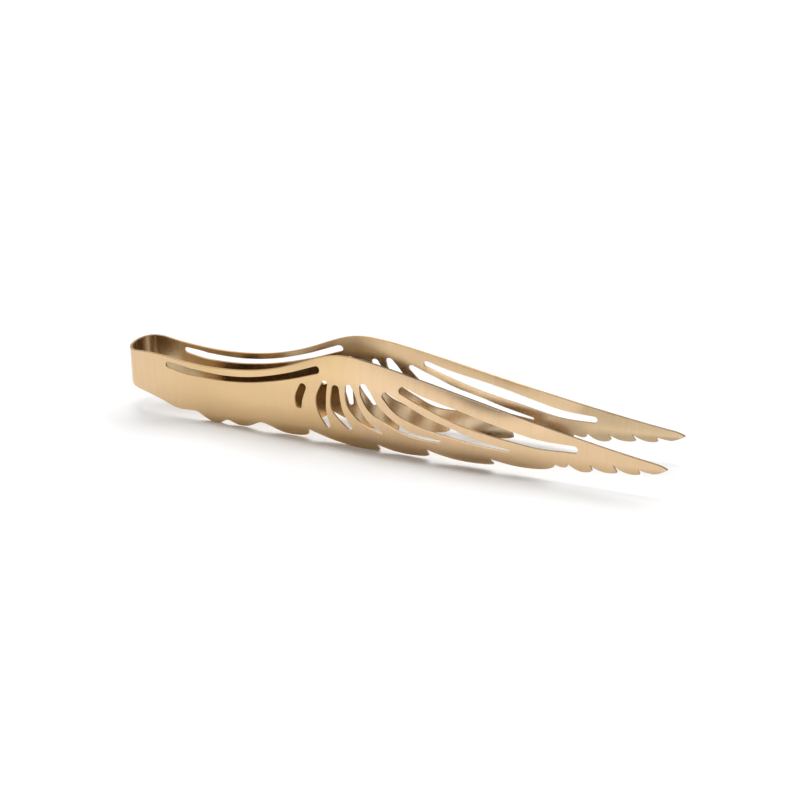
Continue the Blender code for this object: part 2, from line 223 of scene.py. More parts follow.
def bow_lower_line():
    """Level round the back, then sloping down towards the handle's heel."""
    run = HEEL_AT - BACK
    slope = (BACK + 0.466 * run, HEEL + 0.70 * (BOW_BOTTOM - HEEL))
    return bezier([(BACK, BOW_BOTTOM), (BACK + 0.25 * run, BOW_BOTTOM), slope, (HEEL_AT, HEEL)], FINE)


TOP_LINE = top_edge(FINE)
BELLY_LINE = belly_line()
BOW_LOWER_LINE = bow_lower_line()


def top_at(s):
    return np.interp(s, TOP_LINE[:, 0], TOP_LINE[:, 1])


def belly_at(s):
    return np.interp(s, BELLY_LINE[:, 0], BELLY_LINE[:, 1])


def bow_lower_at(s):
    return np.interp(s, BOW_LOWER_LINE[:, 0], BOW_LOWER_LINE[:, 1])


print(f"waist at station {WAIST[0]:.1f} mm, crest at station {SUMMIT[0]:.1f} mm")

# %% [markdown]
# ## The feathers
# The lower edge is a row of feathers. Each one leaves a notch, sinks to its lowest place and ends in a small
# point before the next notch, or runs on softly along the handle. One row of numbers describes one feather,
# as shares of its zone and of a full notch's depth, which keeps the edge adjustable by a few sizes.

# %% Feathered lower edge
Feather = namedtuple("Feather", "zone root root_up low low_up point point_up")
FEATHERS = (
    Feather(HANDLE, 0.188, 1.00, 0.335, 0.00, None, None),
    Feather(HANDLE, 0.423, 0.60, 0.521, 0.16, None, None),
    Feather(HANDLE, 0.677, 1.09, 0.877, 0.18, 1.002, 0.62),
    Feather(WING, 0.007, 1.33, 0.225, 0.00, 0.303, 0.16),
    Feather(WING, 0.293, 0.95, 0.415, 0.26, 0.508, 0.60),
    Feather(WING, 0.499, 1.44, 0.672, 0.29, 0.767, 0.34),
    Feather(WING, 0.749, 1.16, 0.880, 0.16, 1.000, 0.42),
    Feather(JAWS, 0.004, 0.74, 0.085, 0.44, 0.120, 0.55),
    Feather(JAWS, 0.126, 0.82, 0.263, 0.02, 0.348, 0.22),
    Feather(JAWS, 0.319, 0.78, 0.470, 0.02, 0.568, 0.06),
    Feather(JAWS, 0.524, 0.81, 0.690, -0.09, 0.765, -0.08),
    Feather(JAWS, 0.748, 0.40, 0.883, -0.04, None, None),
)
SOFT_START = (0.30, 0.50)
SOFT_END = (0.50, 0.25)
FULL_END = (0.8, 0.1)
LAST_FULLNESS = 0.16


def unit(vector):
    return vector / np.hypot(*vector)


def above_belly(feather, share, up):
    """Point of the lower edge at a share of the feather's zone, up by a share of TOOTH from the belly."""
    s = place(feather.zone, share)
    return np.array([s, belly_at(s) + up * TOOTH])


def pointed_end(bottom, point, notch):
    """A feather's full end, its rounded point and the start of its way up to the notch."""
    under = point + POINT_ROUND * unit(bottom - point)
    behind = point + POINT_ROUND * unit(notch - point)
    full = bottom + (under - bottom) * FULL_END
    return [bezier([bottom, full, under])[1:-1], bezier([under, point, behind])]


def feather_curves(before, feather, after):
    """Down from the notch to the lowest place, then to the point, or softly on to what comes after."""
    root = above_belly(feather, feather.root, feather.root_up)
    bottom = above_belly(feather, feather.low, feather.low_up)
    if before is None:
        root[1] = HEEL
    if before is None or before.point is None:
        curves = [wave(root, bottom, *SOFT_START)]
    else:
        curves = [bezier([root, ((root[0] + bottom[0]) / 2, bottom[1]), bottom])]
    if after is None:
        tip = np.array([TIP, TIP_HEIGHT])
        return curves + [bezier([bottom, (bottom + tip) / 2 - (0.0, LAST_FULLNESS * TOOTH), tip])[1:-1]]
    notch = above_belly(after, after.root, after.root_up)
    if feather.point is None:
        return curves + [wave(bottom, notch, *SOFT_END)[1:-1]]
    return curves + pointed_end(bottom, above_belly(feather, feather.point, feather.point_up), notch)


def lower_edge():
    """The heel's rounding, and then one feather after the other to the tip."""
    slope_end = HEEL_AT - HEEL_ROUND
    slope = np.array([slope_end, bow_lower_at(slope_end)])
    curves = [bezier([slope, (HEEL_AT, HEEL), (HEEL_AT + HEEL_ROUND, HEEL)])]
    row = (None,) + FEATHERS + (None,)
    for before, feather, after in zip(row, row[1:], row[2:]):
        curves += feather_curves(before, feather, after)
    return np.vstack(curves)


print(f"lower edge: {len(FEATHERS)} feathers, {len(lower_edge())} points")

# %% [markdown]
# ## The slots
# Seven curved slots part the wing into feathers, and one long slot lightens the handle. A slot is a spine
# with a width, closed by a round cap at each end, which is just what a laser's path round a slot looks like.
# Each knot of a spine is three shares: of the zone's length, of the height between the edges, and of the
# slot's width.

# %% Slot outlines
WING_SLOTS = (
    ((-0.004, 0.704, 0.40), (-0.020, 0.582, 0.43), (-0.021, 0.474, 0.32)),
    ((0.090, 0.718, 0.33), (0.076, 0.555, 0.54), (0.078, 0.412, 0.48), (0.095, 0.226, 0.28)),
    ((0.137, 0.668, 0.40), (0.139, 0.492, 0.58), (0.153, 0.388, 0.51), (0.189, 0.246, 0.30)),
    ((0.192, 0.698, 0.37), (0.200, 0.620, 0.53), (0.210, 0.527, 0.58), (0.235, 0.426, 0.50),
     (0.264, 0.350, 0.34), (0.324, 0.270, 0.14)),
    ((0.252, 0.740, 0.40), (0.264, 0.674, 0.54), (0.300, 0.540, 0.58), (0.368, 0.425, 0.41),
     (0.450, 0.336, 0.29), (0.562, 0.332, 0.18)),
    ((0.344, 0.720, 0.39), (0.390, 0.643, 0.63), (0.445, 0.582, 0.71), (0.513, 0.534, 0.62),
     (0.623, 0.486, 0.47), (0.710, 0.436, 0.31), (0.833, 0.376, 0.16)),
    ((0.408, 0.834, 0.37), (0.493, 0.786, 0.44), (0.650, 0.724, 0.61), (0.833, 0.650, 0.50),
     (0.948, 0.600, 0.44), (1.075, 0.648, 0.36)),
)
GRIP_SLOT = (
    (0.026, 0.143, 0.68), (0.120, 0.146, 0.80), (0.200, 0.150, 0.76), (0.418, 0.151, 0.64),
    (0.636, 0.140, 0.60), (0.868, 0.131, 0.66), (1.082, 0.128, 0.76),
)
CAP_STEPS = 12


def slot_loop(spine):
    """Spine of station, height and half width, offset to both sides, with a half circle round each end."""
    curve = spline(spine)
    middle, half = curve[:, :2], curve[:, 2:]
    along = np.gradient(middle, axis=0)
    along /= np.hypot(along[:, 0], along[:, 1])[:, None]
    across = np.column_stack([-along[:, 1], along[:, 0]])
    turn = np.linspace(0.0, math.pi, CAP_STEPS + 1)[1:-1, None]
    far = middle[-1] + half[-1] * (across[-1] * np.cos(turn) + along[-1] * np.sin(turn))
    near = middle[0] - half[0] * (across[0] * np.cos(turn) + along[0] * np.sin(turn))
    return np.vstack([middle + across * half, far, (middle - across * half)[::-1], near])


def wing_slot(knots):
    """Loop of one slot of the wing, with its heights measured up from the belly line."""
    share, up, width = np.array(knots).T
    s = place(WING, share)
    z = belly_at(s) + up * (top_at(s) - belly_at(s))
    return slot_loop(np.column_stack([s, z, width * SLOT_WIDTH]))


def grip_slot():
    """Loop of the handle's slot, with its heights measured down from the top edge, so a strip is left."""
    share, down, width = np.array(GRIP_SLOT).T
    s = place(HANDLE, share)
    z = top_at(s) - down * (top_at(s) - belly_at(s))
    return slot_loop(np.column_stack([s, z, width * GRIP_SLOT_WIDTH]))


print(f"slots: {len(WING_SLOTS)} in the wing, {np.ptp(grip_slot()[:, 0]):.1f} mm long in the handle")

# %% [markdown]
# ## Folding the flat strip
# Pressing bulges the wing outwards between its two edges, as a parabola in the height share, and leans the
# lower edge in. Folding then carries each station along the plan curve. One function of the run along the
# strip, the height and the depth through the sheet therefore gives every surface: the outer face, the inner
# face and the cut edges between them. Its slopes give the normals, so the metal shades as one smooth skin
# however the triangles lie.

# %% Fold and its slopes
SLOPE_STEP = 0.05
NORMAL_STEP = 0.2
TINY = 1e-12
DISH_FULL = place(WING, 0.28)
LEAN_EASED = place(WING, 0.35)
DISH_FADES = place(WING, 0.66)
DISH_ENDS = place(JAWS, 0.30)


def still_pressed(s):
    """Eases from 1 to 0 where the wing flattens out into the jaws."""
    return 1.0 - smooth((s - DISH_FADES) / (DISH_ENDS - DISH_FADES))


def dish_at(s):
    """Depth of the pressed dish: none at the bow, full along the wing, none at the flat jaws."""
    return DISH * smooth(s / DISH_FULL) * still_pressed(s)


def lean_at(s):
    """How far the lower edge leans in: most along the handle, less along the wing, none at bow and jaws."""
    grow = smooth((s - NECK) / (WAIST[0] - NECK))
    ease = smooth((s - SHOULDER) / (LEAN_EASED - SHOULDER))
    return grow * (HANDLE_LEAN + (WING_LEAN - HANDLE_LEAN) * ease) * still_pressed(s)


def fold(run, z, through):
    """Place in space of a point of the strip.

    run is the way from the middle of the bow, negative on the right arm, z the height, and through the depth
    in the sheet from -0.5 inside to 0.5 outside. With q the height share, the point lies out from the plan
    curve, and square to it, by 4 q (1 - q) dishes less (1 - q) leans, and by its depth in the sheet.
    """
    s = np.abs(run) + BACK
    height = np.maximum(top_at(s) - belly_at(s), SHEET)
    q = (z - belly_at(s)) / height
    bulge = dish_at(s) * 4.0 * q * (1.0 - q) - lean_at(s) * (1.0 - q)
    tilt = dish_at(s) * 4.0 * (1.0 - 2.0 * q) / height
    out = bulge + through * SHEET * np.sqrt(1.0 + tilt**2)
    ahead, behind = s + SLOPE_STEP, np.maximum(s - SLOPE_STEP, BACK)
    dx = np.interp(ahead, PLAN_S, PLAN_X) - np.interp(behind, PLAN_S, PLAN_X)
    dy = np.interp(ahead, PLAN_S, PLAN_Y) - np.interp(behind, PLAN_S, PLAN_Y)
    length = np.hypot(dx, dy)
    x = np.interp(s, PLAN_S, PLAN_X) - out * dy / length
    y = np.interp(s, PLAN_S, PLAN_Y) + out * dx / length
    return np.column_stack([x - MIDDLE_X, np.where(run < 0, -y, y), z])


def rows_to_unit(vectors):
    return vectors / np.maximum(np.linalg.norm(vectors, axis=1), TINY)[:, None]


def slopes(run, z):
    """The two tangents of the folded sheet, along the strip and up it, as differences over NORMAL_STEP."""
    along = fold(run + NORMAL_STEP, z, 0.0) - fold(run - NORMAL_STEP, z, 0.0)
    up = fold(run, z + NORMAL_STEP, 0.0) - fold(run, z - NORMAL_STEP, 0.0)
    return along, up


print(f"dish: {dish_at(DISH_FULL):.1f} mm deep at station {DISH_FULL:.1f}, flat from {DISH_ENDS:.1f}")

# %% [markdown]
# ## A cut edge with its corners broken
# A laser leaves a square edge, and tumbling then rounds both its corners a little. That small round is what
# catches the light. It is made as a profile carried along each outline: a quarter circle in from the outer
# face, the flat of the cut, and a quarter circle out to the inner face. Each point of the profile says how
# far in from the outline it lies, how deep through the sheet, and which way it faces.

# %% Edge profile
CORNER = 0.16
CORNER_STEPS = 3
QUARTER = np.linspace(math.pi / 2, 0.0, CORNER_STEPS + 1)
PROFILE_ANGLE = np.concatenate([QUARTER, -QUARTER[::-1]])
PROFILE_INSET = CORNER * (1 - np.cos(PROFILE_ANGLE))
PROFILE_THROUGH = 0.5 - CORNER / SHEET * (1 - np.sin(QUARTER))
PROFILE_THROUGH = np.concatenate([PROFILE_THROUGH, -PROFILE_THROUGH[::-1]])
ROWS = len(PROFILE_ANGLE)
SHARPEST_MITRE = 1.5
ROOM_AT_POINT = 0.6
ROOM_GROWS_OVER = 3
LEAST_TURN = 1e-3


def directions(outline, closed):
    """Unit direction of travel at each point of an outline, and how far a point moves for an inset of one.

    Two straight sides meet in a mitre, 1 / cos of half the turn. Where the outline turns sharply round the
    metal, less of the inset fits: a share of the turn's radius there, growing by a third of the distance
    from it.
    """
    if closed:
        before, after = np.roll(outline, 1, axis=0), np.roll(outline, -1, axis=0)
    else:
        before = np.vstack([2 * outline[0] - outline[1], outline[:-1]])
        after = np.vstack([outline[1:], 2 * outline[-1] - outline[-2]])
    into, out_of = rows_to_unit(outline - before), rows_to_unit(after - outline)
    travel = rows_to_unit(into + out_of)
    mitre = 1.0 / np.clip(np.sum(travel * out_of, axis=1), 1 / SHARPEST_MITRE, 1.0)
    sides = np.hypot(*(outline - before).T)
    turn = np.arctan2(into[:, 0] * out_of[:, 1] - into[:, 1] * out_of[:, 0], np.sum(into * out_of, axis=1))
    radius = (sides + np.hypot(*(after - outline).T)) / 2 / np.maximum(turn, LEAST_TURN)
    at = np.cumsum(sides)
    gap = np.abs(at[:, None] - at)
    if closed:
        gap = np.minimum(gap, sides.sum() - gap)
    fits = (ROOM_AT_POINT * radius + gap / ROOM_GROWS_OVER).min(axis=1) / CORNER
    return travel, mitre * np.minimum(fits, 1.0)


def rim(outline, closed):
    """Profile rows along an outline with the metal on its left: station, height, depth, angle and travel."""
    travel, reach = directions(outline, closed)
    away = np.column_stack([travel[:, 1], -travel[:, 0]]) * reach[:, None]
    if not closed:
        away[[0, -1]] = [(0.0, -1.0), (0.0, 1.0)]
    flat = outline[None] - away[None] * PROFILE_INSET[:, None, None]
    through, angle = (np.repeat(values, len(outline)) for values in (PROFILE_THROUGH, PROFILE_ANGLE))
    return np.column_stack([flat.reshape(-1, 2), through, angle, np.tile(travel, (ROWS, 1))])


def rim_quads(count, closed, first):
    """Faces between the profile's rows, for an outline of that many points whose first vertex is given."""
    i = np.arange(count if closed else count - 1)
    after = (i + 1) % count
    row = np.arange(ROWS - 1)[:, None] * count + first
    return np.stack([row + i, row + count + i, row + count + after, row + after], axis=-1).reshape(-1, 4)


print(f"profile: {ROWS} rows, corners broken by {CORNER} mm")

# %% [markdown]
# ## Filling the flat between the outlines
# The faces of the sheet have to be triangles, because the outline is ragged and full of slots. Blender joins
# the points of the outlines and of an even grid into triangles that are as full as they can be. The grid
# points that fall in a slot, or too near an edge, are dropped first. A point lies in the metal if a level
# line from it crosses the outlines an odd number of times.

# %% Grid and triangulation
GRID = 1.5
CLEAR_OF_EDGE = 0.65
INSIDE = 1
SAME_POINT = 1e-7
SHOWN_CROSSINGS = 9


def crossings(points, loop):
    """How many sides of a closed loop lie to the right of each point, at its own height."""
    a, b = loop, np.roll(loop, -1, axis=0)
    z = points[:, 1:2]
    spans = (a[:, 1] > z) != (b[:, 1] > z)
    rise = np.where(b[:, 1] == a[:, 1], 1.0, b[:, 1] - a[:, 1])
    at = a[:, 0] + (z - a[:, 1]) / rise * (b[:, 0] - a[:, 0])
    return np.sum(spans & (at > points[:, 0:1]), axis=1)


def in_metal(points, loops):
    return sum(crossings(points, loop) for loop in loops) % 2 == 1


def grid_in_metal(loops):
    """Points of an even grid, every other row shifted by half a step, that lie well inside the metal."""
    border = np.vstack(loops)
    low, high = border.min(axis=0), border.max(axis=0)
    rows = np.arange(low[1] + GRID / 2, high[1], GRID)
    columns = np.arange(low[0] + GRID / 2, high[0], GRID)
    s, z = np.meshgrid(columns, rows)
    s[1::2] += GRID / 2
    points = np.column_stack([s.ravel(), z.ravel()])
    points = points[in_metal(points, loops)]
    gap = np.array([np.min(np.sum((border - p) ** 2, axis=1)) for p in points])
    return points[gap > CLEAR_OF_EDGE**2]


def fill(loops, inner_points):
    """Triangles that fill the outermost loop around the others, turned anticlockwise in the flat."""
    points = np.vstack(loops + [inner_points])
    edges = []
    first = 0
    for loop in loops:
        i = np.arange(len(loop))
        edges.append(np.column_stack([first + i, first + (i + 1) % len(loop)]))
        first += len(loop)
    found = delaunay_2d_cdt(points.tolist(), np.vstack(edges).tolist(), [], INSIDE, SAME_POINT)
    crossed = [np.round(spot, 2).tolist() for spot, source in zip(found[0], found[3]) if not source]
    if crossed:
        raise ValueError(f"outlines cross at {crossed[:SHOWN_CROSSINGS]}")
    original = np.array([source[0] for source in found[3]])
    triangles = original[np.array(found[2])]
    triangles = triangles[in_metal(points[triangles].mean(axis=1), loops)]
    a, b, c = (points[triangles[:, k]] for k in range(3))
    clockwise = np.cross(b - a, c - a) < 0
    triangles[clockwise] = triangles[clockwise][:, ::-1]
    return triangles


# %% [markdown]
# ## From numbers to a mesh
# All pieces go through one function. It folds the flat places, works out the shading normals, turns the faces
# outwards if the shell's volume comes out negative, and keeps the flat places as a UV map, because brushing
# and tint follow the strip and not the room. Two attributes go with it: the height share of each point, and
# how far it lies on a broken corner.

# %% Mesh of a piece of the strip
OUTER, INNER, CUT = 0, 1, 2
UV_NAME = "strip"
SHARE_NAME = "height_share"
CORNER_NAME = "broken_corner"


def shading_normals(run, z, angle, travel, hand):
    """Face normal N turned towards E by the profile's angle a: N sin(a) + E cos(a), where E = N x travel."""
    along, up = (rows_to_unit(tangent) for tangent in slopes(run, z))
    face = rows_to_unit(np.cross(up, along))
    edge = hand * rows_to_unit(np.cross(face, travel[:, :1] * along + travel[:, 1:] * up))
    return rows_to_unit(face * np.sin(angle)[:, None] + edge * np.cos(angle)[:, None])


def volume(points, triangles):
    """Six times the signed volume of a closed shell: the sum of a . (b x c) over its triangles."""
    a, b, c = (points[triangles[:, k]] for k in range(3))
    return np.sum(a * np.cross(b, c))


def fans(faces):
    """The triangles of faces that all have the same number of corners, each cut from its first corner."""
    return [faces[:, [0, k, k + 1]] for k in range(1, faces.shape[1] - 1)]


def strip_mesh(name, rows, hand, groups):
    """Object from rows of run, height, depth, angle and travel. groups is a list of (faces, finish)."""
    run, flat_z, through, angle = rows[:, :4].T
    points = fold(run, flat_z, through) * MM
    normals = shading_normals(run, flat_z, angle, rows[:, 4:], hand)
    flipped = volume(points, np.vstack([t for faces, _ in groups for t in fans(faces)])) < 0
    polygons, finishes = [], []
    for faces, finish in groups:
        polygons += (faces[:, ::-1] if flipped else faces).tolist()
        finishes += [finish] * len(faces)
    mesh = bpy.data.meshes.new(name)
    mesh.from_pydata(points.tolist(), [], polygons)
    mesh.polygons.foreach_set("material_index", finishes)
    corners = np.empty(len(mesh.loops), dtype=int)
    mesh.loops.foreach_get("vertex_index", corners)
    uv = np.column_stack([run, flat_z])[corners] * MM
    mesh.uv_layers.new(name=UV_NAME).uv.foreach_set("vector", uv.astype(np.float32).ravel())
    station = np.abs(run) + BACK
    share = (flat_z - belly_at(station)) / np.maximum(top_at(station) - belly_at(station), SHEET)
    for title, values in ((SHARE_NAME, share), (CORNER_NAME, np.abs(np.sin(2 * angle)))):
        mesh.attributes.new(title, "FLOAT", "POINT").data.foreach_set("value", values.astype(np.float32))
    mesh.shade_smooth()
    mesh.normals_split_custom_set_from_vertices(normals)
    mesh.update()
    piece = bpy.data.objects.new(name, mesh)
    bpy.context.scene.collection.objects.link(piece)
    print(f"{name}: {len(mesh.vertices)} vertices, {len(mesh.polygons)} faces")
    return piece


# %% [markdown]
# ## The bow
# The bow has no slots, so it is the simplest piece: one closed cross-section, a thin upright bar with broken
# corners, carried along the curl from one joint round to the other. The section runs up the outer face, over
# the top, down the inner face and back under the lower edge.

# %% Build the bow
BOW_STEP = 0.5
SEAM_STEPS = 14
SEAM_RUN = JOINT - BACK


def edge_travel(height_at, run):
    """Direction of an edge in the flat, from its height a little before and after."""
    rise = height_at(np.abs(run + NORMAL_STEP) + BACK) - height_at(np.abs(run - NORMAL_STEP) + BACK)
    return rows_to_unit(np.column_stack([np.full(len(run), 2 * NORMAL_STEP), rise]))


def seam_heights(low, top):
    """Heights across the sheet from the lower broken corner to the upper one."""
    share = np.linspace(0.0, 1.0, SEAM_STEPS + 1)
    return low + CORNER + share * (top - low - 2 * CORNER)


def bow_rows(run):
    """Rows for strip_mesh of the section's points at each station in turn, and how many points it has."""
    station = np.abs(run) + BACK
    low, top = bow_lower_at(station)[:, None], top_at(station)[:, None]
    face = seam_heights(low, top)
    height = np.hstack([face, top - PROFILE_INSET[1:-1], face[:, ::-1], low + PROFILE_INSET[-2:0:-1]])
    ring = height.shape[1]
    flat = np.ones(SEAM_STEPS + 1)
    through = np.concatenate([flat / 2, PROFILE_THROUGH[1:-1], -flat / 2, PROFILE_THROUGH[-2:0:-1]])
    square = flat * math.pi / 2
    angle = np.concatenate([square, PROFILE_ANGLE[1:-1], -square, PROFILE_ANGLE[-2:0:-1]])
    over_and_under = np.stack([-edge_travel(top_at, run), edge_travel(bow_lower_at, run)], axis=1)
    travel = np.repeat(over_and_under, ring // 2, axis=1).reshape(-1, 2)
    depth_and_angle = np.tile(np.column_stack([through, angle]), (len(run), 1))
    return np.column_stack([np.repeat(run, ring), height.ravel(), depth_and_angle, travel]), ring


def build_bow():
    """Quads from each section to the next, sorted into outer face, inner face and cut, and two end faces."""
    run = np.linspace(-SEAM_RUN, SEAM_RUN, 2 * math.ceil(SEAM_RUN / BOW_STEP) + 1)
    rows, ring = bow_rows(run)
    i, j = np.arange(len(run) - 1)[:, None] * ring, np.arange(ring)
    after = (j + 1) % ring
    quads = np.stack([i + j, i + ring + j, i + ring + after, i + after], axis=-1)
    outer, inner = j[:SEAM_STEPS], j[ring // 2:ring // 2 + SEAM_STEPS]
    cut = np.setdiff1d(j, np.concatenate([outer, inner]))
    sides = ((outer, OUTER), (inner, INNER), (cut, CUT))
    groups = [(quads[:, columns].reshape(-1, 4), finish) for columns, finish in sides]
    ends = np.stack([j, (len(run) - 1) * ring + j[::-1]])
    return strip_mesh("bow_strip", rows, 1.0, groups + [(ends, CUT)])


bow = build_bow()

# %% [markdown]
# ## The two arms
# Each arm starts at the section where the bow stops, with the same points, so no line shows between them. Its
# outline runs along the feathers to the tip and back along the top edge, and every slot is a further outline.
# The outer and inner faces share one triangulation, and the rims join them.

# %% Build the arms
def arm_outline():
    """Open outline with the metal on its left: lower edge out to the tip, top edge back to the seam."""
    slope_end = HEEL_AT - HEEL_ROUND
    s = np.linspace(JOINT, slope_end, math.ceil((slope_end - JOINT) / OUTLINE_STEP))[:-1]
    slope = np.column_stack([s, bow_lower_at(s)])
    top = top_edge()
    top = np.vstack([[JOINT, top_at(JOINT)], top[top[:, 0] > JOINT + FINE]])
    return np.vstack([slope, lower_edge(), top[::-1]])


def arm_rims(outlines):
    """Profile rows of every outline. At the seam they travel exactly as the edges of the bow do."""
    rims = [rim(outline, closed=n > 0) for n, outline in enumerate(outlines)]
    count, seam_run = len(outlines[0]), np.array([SEAM_RUN])
    rims[0][0::count, 4:] = edge_travel(bow_lower_at, seam_run)
    rims[0][count - 1::count, 4:] = -edge_travel(top_at, seam_run)
    return rims


def both_faces(flat):
    """Rows of the same flat places, on the outer face and on the inner one."""
    one = np.ones((len(flat), 1))
    return [np.hstack([flat, side / 2 * one, side * math.pi / 2 * one, one, 0 * one]) for side in (1, -1)]


def build_arm(name, side):
    """Rims of the outlines, the grid between them on both faces, and the faces that close the seam."""
    outlines = [arm_outline(), grip_slot()[::-1]] + [wing_slot(knots)[::-1] for knots in WING_SLOTS]
    counts = [len(outline) for outline in outlines]
    rims = arm_rims(outlines)
    seam_z = seam_heights(bow_lower_at(JOINT), top_at(JOINT))[-2:0:-1]
    seam = np.column_stack([np.full(len(seam_z), JOINT), seam_z])
    loops = [rows[:count, :2] for rows, count in zip(rims, counts)]
    loops[0] = np.vstack([loops[0], seam])
    grid = grid_in_metal(loops)
    blocks = rims + both_faces(seam) + both_faces(grid)
    firsts = np.cumsum([0] + [len(block) for block in blocks])
    numbers = [np.arange(a, b) for a, b in zip(firsts, firsts[1:])]
    seam_outer, seam_inner, grid_outer, grid_inner = numbers[len(rims):]
    outer = [vertices[:count] for vertices, count in zip(numbers, counts)]
    inner = [vertices[-count:] for vertices, count in zip(numbers, counts)]
    outer_end = np.concatenate([outer[0][-1:], seam_outer, outer[0][:1]])
    inner_end = np.concatenate([inner[0][-1:], seam_inner, inner[0][:1]])
    faces = fill(loops, grid)
    groups = [(rim_quads(count, n > 0, firsts[n]), CUT) for n, count in enumerate(counts)]
    groups.append((np.concatenate([outer[0], seam_outer, *outer[1:], grid_outer])[faces], OUTER))
    groups.append((np.concatenate([inner[0], seam_inner, *inner[1:], grid_inner])[faces][:, ::-1], INNER))
    groups.append((np.column_stack([outer_end[1:], outer_end[:-1], inner_end[:-1], inner_end[1:]]), CUT))
    first_points = np.arange(ROWS) * counts[0]
    groups.append((np.stack([first_points + counts[0] - 1, first_points[::-1]]), CUT))
    rows = np.vstack(blocks)
    rows[:, 0] = side * (rows[:, 0] - BACK)
    rows[:, 4] *= side
    return strip_mesh(name, rows, float(side), groups)


left_arm = build_arm("left_arm_strip", 1)
right_arm = build_arm("right_arm_strip", -1)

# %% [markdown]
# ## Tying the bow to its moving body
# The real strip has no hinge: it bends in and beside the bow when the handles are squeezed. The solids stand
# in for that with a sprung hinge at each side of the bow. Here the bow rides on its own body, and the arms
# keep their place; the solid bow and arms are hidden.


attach(bow, "spring_bow")
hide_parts("spring_bow")
for arm, side, node in ((left_arm, 1, "left_wing_arm"), (right_arm, -1, "right_wing_arm")):
    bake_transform(arm)
    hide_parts(node)

# %% [markdown]
# ## Nodes, one to a line
# A material is a net of nodes, and writing out each link hides what it does. A few helpers make a node and
# feed its inputs in one line, and stand for the few sums that come up again and again.

# %% Node helpers
RISES = (0.0, 1.0)
FALLS = (1.0, 0.0)


def feed(tree, target, value):
    """Links a socket to an input, or sets the input to a plain value."""
    if isinstance(value, bpy.types.NodeSocket):
        tree.links.new(value, target)
    else:
        target.default_value = value


def add(tree, kind, settings=None, **inputs):
    """Node with its settings. Its inputs are fed by name, or by number where the name is i and a number."""
    node = tree.nodes.new("ShaderNode" + kind)
    for title, value in (settings or {}).items():
        setattr(node, title, value)
    for title, value in inputs.items():
        numbered = title[0] == "i" and title[1:].isdigit()
        feed(tree, node.inputs[int(title[1:]) if numbered else title], value)
    return node


def math_node(tree, operation, a, b=0.0, clamp=False):
    """One Math node; a and b are sockets or numbers."""
    return add(tree, "Math", {"operation": operation, "use_clamp": clamp}, i0=a, i1=b).outputs[0]


def times(tree, a, b):
    return math_node(tree, "MULTIPLY", a, b)


def mixed(tree, share, first, second):
    """Mix of two colours, each a socket or three numbers, by a share."""
    first, second = ((*c, 1.0) if isinstance(c, tuple) else c for c in (first, second))
    return add(tree, "Mix", {"data_type": "RGBA"}, Factor=share, i6=first, i7=second).outputs[2]


def spread(tree, value, span, ends=RISES):
    """Straight rise or fall from one end to the other while a value crosses a span, and level outside it."""
    node = add(tree, "MapRange", Value=value)
    for title, number in zip(("From Min", "From Max", "To Min", "To Max"), (*span, *ends)):
        node.inputs[title].default_value = number
    return node.outputs["Result"]


def stretched_noise(tree, vector, size, detail, roughness):
    """Noise on the strip, with features of a size across the brushing and along it, in metres."""
    scale = (1 / size[0], 1 / size[1], 1.0)
    scaled = add(tree, "VectorMath", {"operation": "MULTIPLY"}, i0=vector, i1=scale).outputs[0]
    noise = add(tree, "TexNoise", Vector=scaled, Scale=1.0, Detail=detail, Roughness=roughness)
    return noise.outputs["Fac"]


def new_group(name, inputs, outputs):
    """Group that is given the strip's UV map and floats, named with their defaults, and gives out floats."""
    tree = bpy.data.node_groups.new(name, "ShaderNodeTree")
    tree.interface.new_socket("Strip", in_out="INPUT", socket_type="NodeSocketVector")
    for title, value in inputs.items():
        made = tree.interface.new_socket(title, in_out="INPUT", socket_type="NodeSocketFloat")
        made.default_value = value
    for title in outputs:
        tree.interface.new_socket(title, in_out="OUTPUT", socket_type="NodeSocketFloat")
    return tree, tree.nodes.new("NodeGroupInput").outputs, tree.nodes.new("NodeGroupOutput").inputs


def along_strip(tree, strip):
    """Distance along the strip from the middle of the bow, the same on both arms."""
    return math_node(tree, "ABSOLUTE", add(tree, "SeparateXYZ", Vector=strip).outputs[0])


# %% [markdown]
# ## Brushing and hairlines
# The outside is brushed upright, and a few longer hairlines come from use. Both could be painted, but a noise
# that is stretched along the strip's height draws as many lines as wanted, at a width of a fraction of a
# millimetre. It reads the flat strip's own UV map, so the lines follow the sheet round the bow.

# %% Brushing and hairline groups
BRUSH_LINE = (0.00022, 0.009)
STREAK = (0.0016, 0.016)
HAIRLINE = (0.0005, 0.02)
BRUSH_LEVELS = (0.3, 0.7)
SOFT_LEVELS = (0.35, 0.65)
SPARSE_LEVELS = (0.66, 0.72)
WORN_ALONG = (0.10, 0.23)
WORN_FROM = (0.1, 1.0)


def brushing_group():
    """Fine upright lines: a long thin noise for the lines and a wider one that makes them come and go."""
    tree, given, out = new_group("Brushing", {"Depth": 0.3}, ["Height", "Streak"])
    fine = stretched_noise(tree, given["Strip"], BRUSH_LINE, detail=4.0, roughness=0.65)
    wide = stretched_noise(tree, given["Strip"], STREAK, detail=2.0, roughness=0.5)
    feed(tree, out["Height"], times(tree, spread(tree, fine, BRUSH_LEVELS), given["Depth"]))
    feed(tree, out["Streak"], spread(tree, wide, SOFT_LEVELS))
    return tree


def hairline_group():
    """Sparse upright hairlines that grow more frequent towards the jaws."""
    tree, given, out = new_group("Hairlines", {"Amount": 0.5}, ["Line"])
    noise = stretched_noise(tree, given["Strip"], HAIRLINE, detail=1.0, roughness=0.4)
    worn = spread(tree, along_strip(tree, given["Strip"]), WORN_ALONG, WORN_FROM)
    strength = times(tree, worn, given["Amount"])
    feed(tree, out["Line"], times(tree, spread(tree, noise, SPARSE_LEVELS), strength))
    return tree


